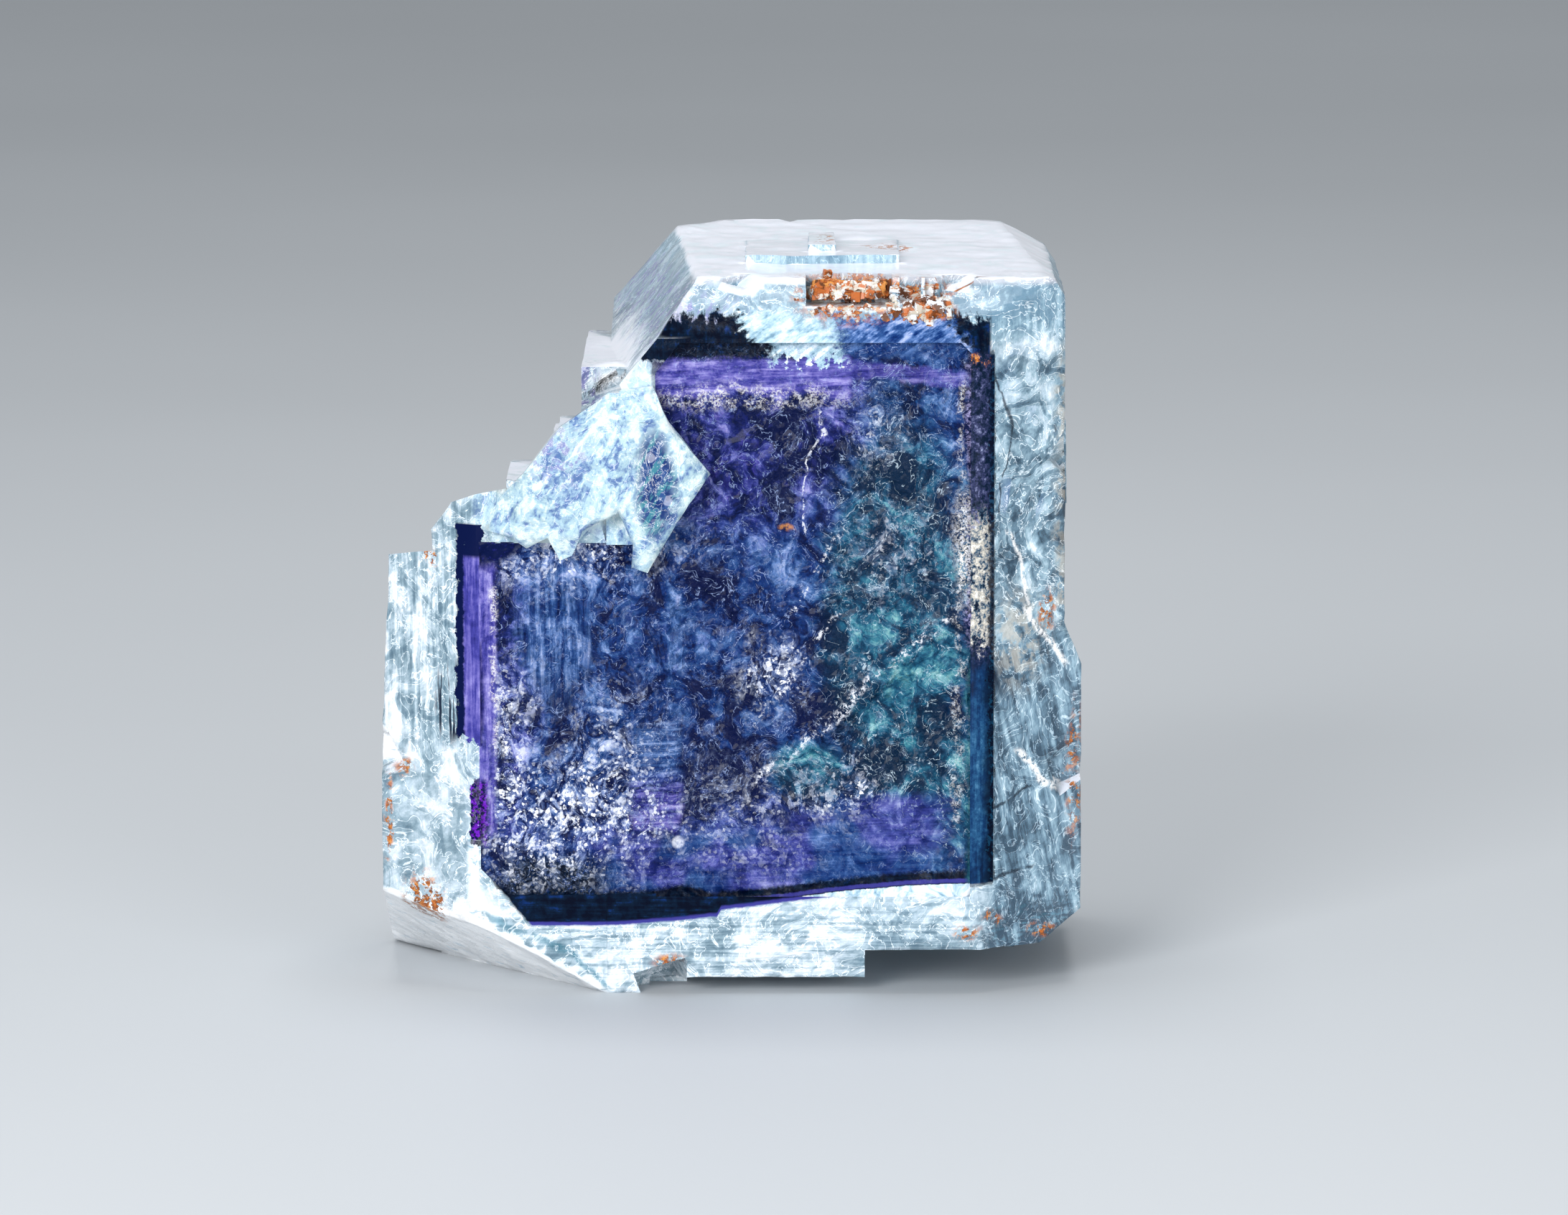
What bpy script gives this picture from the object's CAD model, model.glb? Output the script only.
"""The looks of a zoned fluorite cube specimen: a dark purple, blue and teal phantom
cube in clear to milky, pale blue overgrowth, with iron oxide in a notch of its top edge.

The front faces -Y and +Z is up. Places are in millimetres, as in the part's source,
and become metres where a mesh is made. Shaders work in millimetres too.
"""

import math

import bmesh
import bpy
import numpy as np
from mathutils import Euler, Matrix, Vector, noise
from mathutils.bvhtree import BVHTree


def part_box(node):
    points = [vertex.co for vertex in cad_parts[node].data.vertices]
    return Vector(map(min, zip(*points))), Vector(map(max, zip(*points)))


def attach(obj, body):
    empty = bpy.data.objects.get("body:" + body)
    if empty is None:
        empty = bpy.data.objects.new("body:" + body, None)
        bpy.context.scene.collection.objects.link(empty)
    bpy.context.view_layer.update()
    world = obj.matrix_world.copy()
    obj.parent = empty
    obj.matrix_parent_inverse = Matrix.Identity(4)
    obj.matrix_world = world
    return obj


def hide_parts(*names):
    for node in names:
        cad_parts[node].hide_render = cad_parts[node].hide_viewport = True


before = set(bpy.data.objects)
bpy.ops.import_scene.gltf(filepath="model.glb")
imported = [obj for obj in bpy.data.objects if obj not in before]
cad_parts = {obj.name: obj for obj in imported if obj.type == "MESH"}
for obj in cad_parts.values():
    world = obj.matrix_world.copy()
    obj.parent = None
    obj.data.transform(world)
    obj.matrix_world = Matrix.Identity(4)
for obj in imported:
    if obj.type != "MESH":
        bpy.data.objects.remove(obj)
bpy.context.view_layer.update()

# The noise that moves a mesh's corners starts from the clock, unless it is given a seed.
noise.seed_set(11)

MM = 0.001
FLUORITE_IOR = 1.434
# The phantom mostly lies in the overgrowth, so its own faces reflect little.
PHANTOM_IOR = 1.15

# The camera, with its lens and sensor in millimetres, as far away as gives the photograph's frame.
CAMERA_ELEVATION = math.radians(8.0)
CAMERA_LENS = 200.0
CAMERA_SENSOR = 36.0
CAMERA_DISTANCE = 485.0
CAMERA_TARGET = (2.88, -13.0, 21.86)


def linear(code):
    """A hex colour as the linear colour that shaders use."""
    shares = [int(code[i : i + 2], 16) / 255 for i in (1, 3, 5)]
    return tuple(c / 12.92 if c <= 0.04045 else ((c + 0.055) / 1.055) ** 2.4 for c in shares)


class Value:
    """A shader socket that holds a number, so that shader maths reads as plain Python."""

    def __init__(self, paint, socket):
        self.paint = paint
        self.socket = socket

    def __add__(self, other):
        return self.paint.maths("ADD", self, other)

    def __sub__(self, other):
        return self.paint.maths("SUBTRACT", self, other)

    def __rsub__(self, other):
        return self.paint.maths("SUBTRACT", other, self)

    def __mul__(self, other):
        return self.paint.maths("MULTIPLY", self, other)

    def __truediv__(self, other):
        return self.paint.maths("DIVIDE", self, other)

    def __pow__(self, other):
        return self.paint.maths("POWER", self, other)

    __radd__ = __add__
    __rmul__ = __mul__

    def root(self):
        return self.paint.maths("SQRT", self)

    def size(self):
        return self.paint.maths("ABSOLUTE", self)

    def ramp(self, low, high):
        """0 below low and 1 above high, with a smooth rise. It falls where low is the greater."""
        spans = {"Value": self, "From Min": low, "From Max": high}
        return self.paint.node("ShaderNodeMapRange", {"interpolation_type": "SMOOTHSTEP"}, spans)

    def within(self, low, high, soft):
        """1 between low and high, fading over the soft width at both ends."""
        return self.ramp(low - soft, low + soft) * self.ramp(high + soft, high - soft)


class Paint:
    """One material, made from nodes that work in the specimen's millimetres."""

    def __init__(self, name):
        self.material = bpy.data.materials.new(name)
        self.material.use_nodes = True
        self.tree = self.material.node_tree
        self.tree.nodes.clear()
        place = self.node("ShaderNodeTexCoord", output="Object")
        self.place = self.vector("SCALE", place, Scale=1 / MM)
        self.x, self.y, self.z = self.parts(self.place)

    def node(self, kind, settings=None, links=None, output=0):
        made = self.tree.nodes.new(kind)
        for name, setting in (settings or {}).items():
            if name == "stops":
                self.set_stops(made.color_ramp, setting)
            else:
                setattr(made, name, setting)
        for name, value in (links or {}).items():
            self.put(made.inputs[name], value)
        return Value(self, made.outputs[output])

    def put(self, socket, value):
        if isinstance(value, Value):
            self.tree.links.new(value.socket, socket)
        elif isinstance(value, tuple) and len(value) == 3 and socket.type == "RGBA":
            socket.default_value = (*value, 1.0)
        else:
            socket.default_value = value

    def maths(self, operation, *values):
        return self.node("ShaderNodeMath", {"operation": operation}, dict(enumerate(values)))

    def vector(self, operation, *values, **links):
        links.update(enumerate(values))
        return self.node("ShaderNodeVectorMath", {"operation": operation}, links)

    def parts(self, vector):
        made = self.node("ShaderNodeSeparateXYZ", links={"Vector": vector})
        outputs = made.socket.node.outputs
        return [Value(self, outputs[name]) for name in "XYZ"]

    def mix(self, share, first, second, blend="MIX"):
        """The first colour where share is 0 and the second where it is 1."""
        settings = {"data_type": "RGBA", "blend_type": blend, "clamp_factor": True}
        return self.node("ShaderNodeMix", settings, {0: share, 6: first, 7: second}, output=2)

    def set_stops(self, ramp, stops):
        while len(ramp.elements) < len(stops):
            ramp.elements.new(0.5)
        for element, (place, colour) in zip(ramp.elements, stops):
            element.position = place
            element.color = (*colour, 1.0)

    def grade(self, share, stops):
        """A colour that follows a value through several stops, each a place from 0 to 1 and a colour."""
        return self.node("ShaderNodeValToRGB", {"stops": stops}, {"Fac": share})

    def stretched(self, stretch):
        return self.place if stretch == (1, 1, 1) else self.vector("MULTIPLY", self.place, stretch)

    def bent(self, scale, reach):
        """The place, bent as in a swirl by up to half the reach in millimetres."""
        links = {"Vector": self.place, "Scale": scale, "Detail": 2.0}
        bend = self.node("ShaderNodeTexNoise", links=links, output="Color")
        bend = self.vector("SUBTRACT", bend, (0.5, 0.5, 0.5))
        return self.vector("ADD", self.place, self.vector("SCALE", bend, Scale=reach))

    def noise(self, scale, detail=3.0, roughness=0.5, distortion=0.0, stretch=(1, 1, 1), place=None):
        """Noise from 0 to 1 with scale waves in a millimetre."""
        links = {
            "Vector": place or self.stretched(stretch),
            "Scale": scale,
            "Detail": detail,
            "Roughness": roughness,
            "Distortion": distortion,
        }
        return self.node("ShaderNodeTexNoise", links=links)

    def shards(self, scale, stretch=(1, 1, 1), turn=(0.0, 0.0, 0.0)):
        """Two values over broken faces: the height of small planes, each tilted its own way, and a grey."""
        links = {"Vector": self.place, "Rotation": turn, "Scale": stretch}
        place = self.node("ShaderNodeMapping", links=links)
        links = {"Vector": place, "Scale": scale}
        shade = self.node("ShaderNodeTexVoronoi", {"feature": "F1"}, links, output="Color")
        middle = Value(self, shade.socket.node.outputs["Position"])
        tilt = self.vector("SUBTRACT", shade, (0.5, 0.5, 0.5))
        reach = self.vector("SUBTRACT", place, middle)
        made = self.vector("DOT_PRODUCT", reach, tilt)
        height = Value(self, made.socket.node.outputs["Value"]) * scale
        return height, self.parts(shade)[0]

    def hatch(self, angle, scale=2.6, stretch=0.1, detail=4.0):
        """Streaks from 0 to 1 that run at an angle, in degrees, across the front view."""
        links = {"Vector": self.place, "Rotation": (0.0, math.radians(angle), 0.0)}
        turned = self.node("ShaderNodeMapping", links=links)
        links = {
            "Vector": self.vector("MULTIPLY", turned, (stretch, 0.6, 1.0)),
            "Scale": scale,
            "Detail": detail,
            "Roughness": 0.65,
        }
        return self.node("ShaderNodeTexNoise", links=links)

    def box(self, low, high, soft=0.4, across=None, up=None):
        """1 inside a box of the front view, from its lower left to its upper right corner."""
        across = self.x if across is None else across
        up = self.z if up is None else up
        return across.within(low[0], high[0], soft) * up.within(low[1], high[1], soft)

    def most(self, *shares):
        """The greatest of several shares at each place."""
        found = shares[0]
        for share in shares[1:]:
            found = self.maths("MAXIMUM", found, share)
        return found

    def oval(self, centre, radius, soft=0.3, across=None, up=None):
        """1 inside an oval of the front view, which fades out at its edge."""
        across = self.x if across is None else across
        up = self.z if up is None else up
        far = (((across - centre[0]) / radius[0]) ** 2 + ((up - centre[1]) / radius[1]) ** 2).root()
        return far.ramp(1 + soft, 1 - soft)

    def line(self, start, end, width, across=None, up=None):
        """1 on a straight line of the front view, which fades out at its width."""
        across = self.x if across is None else across
        up = self.z if up is None else up
        run, rise = end[0] - start[0], end[1] - start[1]
        length = math.hypot(run, rise)
        run, rise = run / length, rise / length
        beside = ((across - start[0]) * -rise + (up - start[1]) * run).size()
        along = (across - start[0]) * run + (up - start[1]) * rise
        return beside.ramp(width, width * 0.2) * along.within(0, length, width)

    def patches(self, places, soft, across=None, up=None):
        """Several ovals together, each a middle and its radii."""
        found = 0.0
        for centre, radius in places:
            found = self.oval(centre, radius, soft, across, up) + found
        return found

    def lines(self, paths, across=None, up=None):
        """Several lines together, each a start, an end and a width."""
        found = 0.0
        for start, end, width in paths:
            found = self.line(start, end, width, across, up) + found
        return found

    def bump(self, height, depth, strength=1.0):
        """A normal from a height of 0 to 1 that stands for a depth in millimetres."""
        links = {"Height": height, "Distance": depth * MM, "Strength": strength}
        return self.node("ShaderNodeBump", links=links)

    def shader(self, **sockets):
        links = {name.replace("_", " "): value for name, value in sockets.items()}
        return self.node("ShaderNodeBsdfPrincipled", links=links)

    def finish(self, surface, volume=None):
        out = self.tree.nodes.new("ShaderNodeOutputMaterial")
        self.tree.links.new(surface.socket, out.inputs["Surface"])
        if volume is not None:
            self.tree.links.new(volume.socket, out.inputs["Volume"])
        return self.material


WHITE_ICE = linear("#fbfdff")
ICE = linear("#e4eef6")
PALE_BLUE = linear("#c3d8e6")
SKY = linear("#9dbccd")
STEEL = linear("#7092a8")
DEEP_STEEL = linear("#3a5870")
TEAL_SHADE = linear("#2f7f98")
MILK_GREEN = linear("#d0e2e2")
PLATE_GREEN = linear("#b4cdd2")
PLATE_WHITE = linear("#e6eef2")
LAVENDER = linear("#eceef8")
STEP_GREY = linear("#c6cbd6")
CREAM = linear("#c4bdb0")
RUST = linear("#b4622b")
ORANGE = linear("#cf8a45")
BROWN = linear("#5f3417")
NEAR_BLACK = linear("#00061a")
BLACK_GREEN = linear("#04182e")
NAVY = linear("#030f3a")
DEEP_BLUE = linear("#0c2c66")
SLATE = linear("#294a80")
LIGHT_SLATE = linear("#5574aa")
PALE_SLATE = linear("#9fadd4")
DARK_PURPLE = linear("#171b5e")
PURPLE = linear("#3b3a8c")
LIGHT_PURPLE = linear("#6a64ae")
LILAC = linear("#aba6d8")
INK_LILAC = linear("#30365a")
GREY_LILAC = linear("#7b82a6")
MAGENTA = linear("#6a1fb4")
INK_TEAL = linear("#05203a")
DARK_TEAL = linear("#0b3550")
TEAL = linear("#1b5570")
LIGHT_TEAL = linear("#3a7b8c")
SEA_GREEN = linear("#7fb5b6")
GREY_FROST = linear("#93a7d2")
FROST = linear("#eef1fb")

# Growth zones as ramps: from their darkest to their palest tone.
TONES = (0.31, 0.43, 0.53, 0.62, 0.75)
BLUE_ZONE = tuple(zip(TONES, (NAVY, DEEP_BLUE, SLATE, LIGHT_SLATE, PALE_SLATE)))
PURPLE_ZONE = tuple(zip(TONES, (NAVY, DARK_PURPLE, PURPLE, LIGHT_PURPLE, LILAC)))
TEAL_ZONE = tuple(zip(TONES, (INK_TEAL, DARK_TEAL, TEAL, LIGHT_TEAL, SEA_GREEN)))
BLACK_ZONE = tuple(zip(TONES, (NEAR_BLACK, NEAR_BLACK, BLACK_GREEN, DEEP_BLUE, LIGHT_SLATE)))
SPECKLED_ZONE = tuple(zip(TONES, (NEAR_BLACK, BLACK_GREEN, INK_LILAC, GREY_LILAC, PALE_BLUE)))
CHUNK_ZONE = tuple(zip(TONES, (NEAR_BLACK, DEEP_STEEL, CREAM, ICE, WHITE_ICE)))
ICE_TONES = (0.34, 0.42, 0.49, 0.55, 0.62)
PLATE_ZONE = tuple(zip(ICE_TONES, (LIGHT_SLATE, SKY, PLATE_GREEN, MILK_GREEN, PLATE_WHITE)))
ICE_ZONE = tuple(zip(ICE_TONES, (STEEL, SKY, PALE_BLUE, ICE, WHITE_ICE)))
CLOUDY_ZONE = tuple(zip(ICE_TONES, (DEEP_STEEL, STEEL, SKY, PALE_BLUE, WHITE_ICE)))

# Places on the etched front: an oval's middle and radii in X and Z, and how much of the frost lies there.
FROST_PLACES = (
    ((-9.6, 9.4), (4.2, 2.9), 0.95),
    ((-6.5, 12.5), (2.2, 4.0), 0.40),
    ((-12.6, 14.0), (1.2, 3.6), 0.55),
    ((-10.5, 25.0), (3.6, 1.6), 0.40),
    ((-6.5, 25.4), (3.6, 1.6), 0.35),
    ((1.9, 17.9), (1.5, 1.7), 0.75),
    ((6.6, 11.3), (1.5, 1.4), 0.70),
    ((9.2, 25.2), (2.3, 1.8), 0.25),
    ((7.9, 31.5), (1.5, 1.3), 0.30),
    ((2.0, 10.5), (5.0, 2.0), 0.20),
    ((0.2, 7.8), (3.8, 1.4), 0.35),
)
PALE_PATCHES = (
    ((3.9, 12.5), (1.7, 1.5)),
    ((7.2, 14.6), (1.6, 0.8)),
    ((10.1, 17.6), (2.0, 1.2)),
    ((11.9, 9.0), (1.3, 1.9)),
    ((8.4, 20.4), (0.9, 0.8)),
)
DARK_PATCHES = (
    ((-0.8, 23.3), (1.2, 1.0)),
    ((-1.0, 17.0), (1.5, 1.6)),
    ((8.6, 28.8), (1.6, 1.7)),
    ((5.2, 15.6), (2.2, 1.2)),
    ((8.2, 13.0), (1.4, 1.2)),
    ((-9.6, 17.6), (1.5, 0.9)),
    ((3.6, 32.2), (1.2, 1.6)),
    ((2.8, 28.3), (0.9, 2.2)),
    ((0.2, 12.8), (2.4, 2.0)),
    ((-11.8, 15.9), (0.9, 1.0)),
    ((-9.7, 16.2), (0.7, 0.9)),
    ((-9.6, 14.2), (0.9, 0.8)),
    ((-8.8, 10.0), (0.5, 1.1)),
)
RIDGE_PATHS = (
    ((12.4, 21.4), (8.0, 18.0), 0.40),
    ((8.0, 18.0), (5.2, 15.0), 0.40),
    ((5.2, 15.0), (1.2, 11.8), 0.45),
    ((6.0, 21.8), (1.2, 14.6), 0.22),
    ((3.2, 21.6), (6.2, 26.2), 0.20),
    ((-8.0, 12.4), (-11.0, 7.8), 0.60),
    ((-6.2, 11.2), (-6.2, 8.2), 0.35),
    ((-12.9, 17.4), (-12.5, 13.2), 0.40),
    ((-9.2, 12.6), (-9.6, 9.4), 0.30),
)


# Where the front grew purple: an oval's middle and radii in X and Z, its soft edge and its share.
PURPLE_PLACES = (
    ((1.0, 32.2), (7.4, 5.6), 0.35, 0.8),
    ((-12.8, 16.0), (1.6, 9.0), 0.5, 0.7),
    ((0.5, 8.5), (9.0, 3.0), 0.5, 0.5),
)
PHANTOM_CRACK = (
    ((4.8, 33.2), (5.0, 31.4), 0.16),
    ((5.0, 31.5), (4.0, 29.9), 0.09),
    ((4.0, 29.9), (3.9, 25.9), 0.07),
)

# The phantom's lower rim rises to the right, with a small step on the way.
RIM_SPAN = (-9.0, 14.0)
RIM_RISE = 1.9
RIM_STEP_SPAN = (-0.9, -0.6)
RIM_STEP = 0.35


class CrystalPaint(Paint):
    """What the paints of the phantom and the overgrowth share: places that wander, and fine flecks."""

    def __init__(self, name, far_reach, near_reach):
        super().__init__(name)
        self.wander = self.noise(0.4, 4.0, 0.6) - 0.5
        drift = self.noise(0.45, 4.0, 0.6, stretch=(1.3, 1, 0.8)) - 0.5
        self.far_x = self.x + self.wander * far_reach
        self.far = (self.far_x, self.z + drift * far_reach)
        self.near_x = self.x + self.wander * near_reach
        self.near_z = self.z + drift * near_reach
        self.near = (self.near_x, self.near_z)
        self.fleck = self.noise(4.0, 3.0, 0.75)
        self.bands = []

    def rim_height(self, lowest, across):
        """The height of the phantom's lower rim, from its lowest stretch at the left."""
        return self.x.ramp(*RIM_SPAN) * RIM_RISE + across.ramp(*RIM_STEP_SPAN) * RIM_STEP + lowest


class PhantomPaint(CrystalPaint):
    """The phantom's paint: purple, blue and teal growth zones, finely etched and glittering."""

    def __init__(self):
        super().__init__("zoned_fluorite", far_reach=4.5, near_reach=1.4)
        self.swirl = self.bent(0.35, 9.0)
        self.drifts = self.noise(0.24, 2.0, 0.5)
        self.mottle = self.noise(0.5, 5.0, 0.64, place=self.swirl)
        self.patchy = self.noise(1.7, 4.0, 0.70)
        self.grains = self.noise(7.0, 2.0, 0.8)
        self.curls = self.noise(1.0, 4.0, 0.68, place=self.vector("MULTIPLY", self.swirl, (1.7, 1.0, 0.6)))
        self.upright = self.hatch(90.0, 3.4, 0.07)
        self.level = self.hatch(2.0, 3.4, 0.07)
        self.level_tone = self.level * 0.7 + self.patchy * 0.3
        self.coarse_height, self.coarse_shade = self.shards(0.75, (1.0, 1.0, 0.8), (0.4, 0.6, 0.3))
        self.small_height, self.small_shade = self.shards(2.1, (1.0, 1.0, 0.7), (0.2, 0.9, 0.5))
        self.tiny_height, self.tiny_shade = self.shards(6.5)
        self.tone = self.etched_tone()
        self.teal = self.teal_share()
        self.edge = (self.fleck - 0.5) * 1.6
        self.above_rim = self.z - self.rim_height(3.95, self.x + self.edge * 0.3)
        self.under_rim = (self.above_rim + self.edge * 0.1).ramp(0.05, -0.02) * self.x.ramp(-9.0, -7.0)
        self.rough_corner = self.oval((-10.2, 6.0), (3.4, 1.9), 0.35, *self.near)
        self.right_band = self.near_x.ramp(12.9, 13.3)

    def etched_tone(self):
        """From dark to pale: blotches, broken faces, and streaks that run down to the right."""
        right_side = self.x.ramp(-1.0, 4.0)
        left_side = self.x.ramp(-5.0, -7.0)
        rays = self.hatch(-36.0, 1.3, 0.14)
        tone = self.mottle * 0.80 + self.patchy * 0.13 + self.fleck * 0.06
        tone = tone + (self.drifts - 0.5) * 0.35 - 0.035
        tone = tone + (self.curls - 0.5) * (left_side * 0.45 + 0.15) + left_side * 0.025
        tone = tone + (rays - 0.5) * (right_side * 0.34 + 0.06) + (self.upright - 0.5) * left_side * 0.2
        tone = tone + (self.coarse_shade - 0.5) * 0.10 + (self.small_shade - 0.5) * 0.07
        tone = tone * 1.22 - 0.13
        tone = tone - self.patches(DARK_PATCHES, 0.6, *self.near) * 0.17
        tone = tone + self.patches(PALE_PATCHES, 0.7, *self.far) * 0.11
        tone = tone + self.line((-3.4, 15.5), (-3.2, 27.5), 0.9, self.near_x) * 0.04
        return tone - self.line((-4.6, 16.0), (-4.4, 26.0), 0.8, self.near_x) * 0.05

    def teal_share(self):
        """How teal each place is: the right side above all, and two patches at the bottom."""
        tall = self.oval((9.2, 20.5), (4.2, 12.5), 0.3, *self.far)
        low = self.oval((11.4, 11.0), (2.4, 4.0), 0.4, *self.near)
        return tall + low + self.oval((4.0, 12.4), (2.0, 1.7), 0.4, *self.near)

    def growth_zones(self):
        """The etched front's colours: blue, and purple or teal in places, with two hatched patches."""
        purple = self.patchy.ramp(0.54, 0.6) * 0.2
        for centre, radius, soft, share in PURPLE_PLACES:
            purple = self.oval(centre, radius, soft, *self.far) * share + purple
        colour = self.mix(purple, self.grade(self.tone, BLUE_ZONE), self.grade(self.tone, PURPLE_ZONE))
        colour = self.mix(self.teal * 0.95, colour, self.grade(self.tone, TEAL_ZONE))
        hollow = self.oval((-9.9, 20.2), (2.1, 3.6), 0.4, *self.near)
        hollow_tone = self.upright + self.mottle * 0.5 - 0.21
        colour = self.mix(hollow * 0.8, colour, self.grade(hollow_tone, BLUE_ZONE))
        stair = self.box((-5.6, 9.2), (-2.9, 15.2), 0.3, *self.near)
        blue_stair = self.grade(self.level + 0.03, BLUE_ZONE)
        purple_stair = self.grade(self.level + 0.03, PURPLE_ZONE)
        return self.mix(stair * 0.9, colour, self.mix(self.z.ramp(13.0, 11.0), blue_stair, purple_stair))

    def lower_bands(self, colour):
        """A violet band above the lower rim, a black one on it, and the rough lower left corner."""
        rise = self.x.ramp(-2.0, 10.0) * 2.4
        violet = (self.near_z - rise).ramp(9.4, 8.4) * self.x.within(-8.0, 12.0, 1.4)
        tone = self.level_tone * 0.6 + self.tone * 0.4 + 0.02
        share = self.drifts.ramp(0.42, 0.52) * 0.8
        violet_colour = self.mix(share, self.grade(tone, BLUE_ZONE), self.grade(tone, PURPLE_ZONE))
        colour = self.mix(violet * 0.9, colour, violet_colour)
        black = (self.above_rim + self.edge * 0.25 + self.x.ramp(-3.0, 0.0)).ramp(1.9, 1.6)
        black = black * self.x.ramp(-12.5, -11.0)
        black_tone = self.level * 0.4 + self.patchy * 0.5 + 0.01
        colour = self.mix(black, colour, self.grade(black_tone, BLACK_ZONE))
        purple_line = (self.above_rim + self.edge * 0.1).within(0.08, 0.3, 0.05)
        colour = self.mix(purple_line * 0.8, colour, PURPLE)
        self.bands += [violet * 0.6, black * 0.95]
        corner_tone = self.fleck * 0.5 + self.patchy * 0.5
        return self.mix(self.rough_corner, colour, self.grade(corner_tone, BLACK_ZONE))

    def left_bands(self, colour):
        """The left bevel's purple band, its magenta bits, its dark upper corner and its navy edge."""
        purple = (self.x + self.edge * 0.25).ramp(-13.0, -13.4) * self.near_z.ramp(8.6, 9.4)
        purple_tone = self.upright * 0.6 + self.patchy * 0.4 + 0.07
        colour = self.mix(purple, colour, self.grade(purple_tone, PURPLE_ZONE))
        bits = self.box((-16.0, 8.2), (-13.7, 12.0), 0.25, *self.near)
        colour = self.mix(bits, colour, self.mix(self.fleck.ramp(0.45, 0.6), NAVY, MAGENTA))
        corner = self.oval((-14.0, 25.6), (2.6, 1.5), 0.25, self.near_x, self.z)
        colour = self.mix(corner, colour, self.mix(self.fleck.ramp(0.55, 0.66), NAVY, DARK_PURPLE))
        edge_line = (self.x + self.edge * 0.1).ramp(-14.8, -15.0)
        self.bands += [purple * 0.85, corner, edge_line]
        return self.mix(edge_line, colour, NAVY)

    def top_bands(self, colour):
        """A purple band under the top bevel, and the bevel's own: black, then icy, then blue."""
        purple = self.box((-6.5, 33.7), (6.6, 35.8), 0.2, self.x, self.near_z)
        colour = self.mix(purple, colour, self.grade(self.level_tone + 0.09, PURPLE_ZONE))
        thin = (self.near_z + self.x * 0.06).within(35.0, 35.9, 0.15) * self.x.within(5.0, 13.6, 0.4)
        colour = self.mix(thin * 0.8, colour, self.grade(self.level_tone + 0.03, PURPLE_ZONE))
        leaning_x = self.near_x + (self.z - 36.6) * 0.6 + (self.patchy - 0.5) * 3.0
        blue = self.near_z.ramp(35.6, 36.0) * leaning_x.ramp(4.8, 6.2)
        blue_tone = self.hatch(35.0, 2.4) * 0.7 + self.patchy * 0.3
        colour = self.mix(blue, colour, self.grade(blue_tone, BLUE_ZONE))
        icy = (self.z + (self.patchy - 0.5) * 5).ramp(35.4, 35.6) * leaning_x.within(1.6, 5.8, 0.3)
        icy_tone = self.hatch(40.0, 2.4) * 0.6 + self.patchy * 0.4
        colour = self.mix(icy, colour, self.grade(icy_tone, CLOUDY_ZONE))
        black = (self.z + self.edge * 0.5).ramp(35.5, 35.9) * leaning_x.ramp(2.4, 1.6)
        black_tone = self.upright * 0.4 + self.fleck * 0.5 + 0.02
        self.bands += [purple * 0.5, black * 0.8]
        return self.mix(black, colour, self.grade(black_tone, BLACK_ZONE))

    def right_bands(self, colour):
        """The right bevel's band, speckled above and glassy below, and its black edge."""
        speckled = self.mix(self.fleck.ramp(0.46, 0.62) * 0.7, NAVY, LILAC)
        glassy_tone = self.upright * 0.5 + self.patchy * 0.5 + 0.03
        glassy = self.mix(self.x.ramp(12.6, 14.2), self.grade(glassy_tone, TEAL_ZONE), NEAR_BLACK)
        band_colour = self.mix(self.near_z.ramp(18.0, 21.0), glassy, speckled)
        colour = self.mix(self.right_band, colour, band_colour)
        edge_line = (self.x + self.edge * 0.2).ramp(14.0, 14.2)
        self.bands.append(edge_line)
        return self.mix(edge_line, colour, NEAR_BLACK)

    def strokes(self, colour, open_front):
        """Thin, broken, pale strokes that run over the open front like a web."""
        web = (self.noise(0.7, 3.0, 0.55, place=self.swirl) - 0.5).size().ramp(0.014, 0.0)
        fine_web = (self.noise(1.8, 2.0, 0.6) - 0.5).size().ramp(0.016, 0.0)
        strokes = web * self.patchy.ramp(0.44, 0.54) * 0.7 + fine_web * self.mottle.ramp(0.46, 0.56) * 0.3
        return self.mix(strokes * open_front, colour, self.mix(self.teal, GREY_FROST, PALE_BLUE))

    def frost(self, colour, open_front):
        """Etched frost: a veil, then white grains, thickest at the lower left and along the ridges."""
        thick = 0.0
        for centre, radius, share in FROST_PLACES:
            thick = self.oval(centre, radius, 0.8, *self.far) * share + thick
        gather = self.noise(0.9, 3.0, 0.65, place=self.swirl).ramp(0.44, 0.62) * self.mottle.ramp(0.40, 0.56)
        veil = (self.curls * 0.7 + self.small_shade * 0.12 + self.patchy * 0.2).ramp(0.46, 0.60)
        veil = veil * (gather * 0.18 + thick * 0.8)
        colour = self.mix(veil * open_front * 0.65, colour, GREY_FROST)
        sparkle = self.tiny_shade * 0.30 + self.small_shade * 0.35 + self.curls * 0.9
        rough = self.patchy.ramp(0.46, 0.56)
        glints = (self.tiny_shade * 0.7 + self.small_shade * 0.1 + self.fleck * 0.4).ramp(0.87, 0.93)
        frost = sparkle.ramp(0.82, 1.02) * thick * 0.8 + self.grains.ramp(0.60, 0.66) * thick * rough * 0.7
        frost = frost + glints * (gather * 0.05 + thick * 0.8 + 0.006) * (1 - self.rough_corner * 0.4)
        frost = frost + self.lines(RIDGE_PATHS, *self.near) * rough * self.fleck.ramp(0.46, 0.56) * 0.8
        return self.mix(frost * open_front, colour, FROST)

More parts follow.
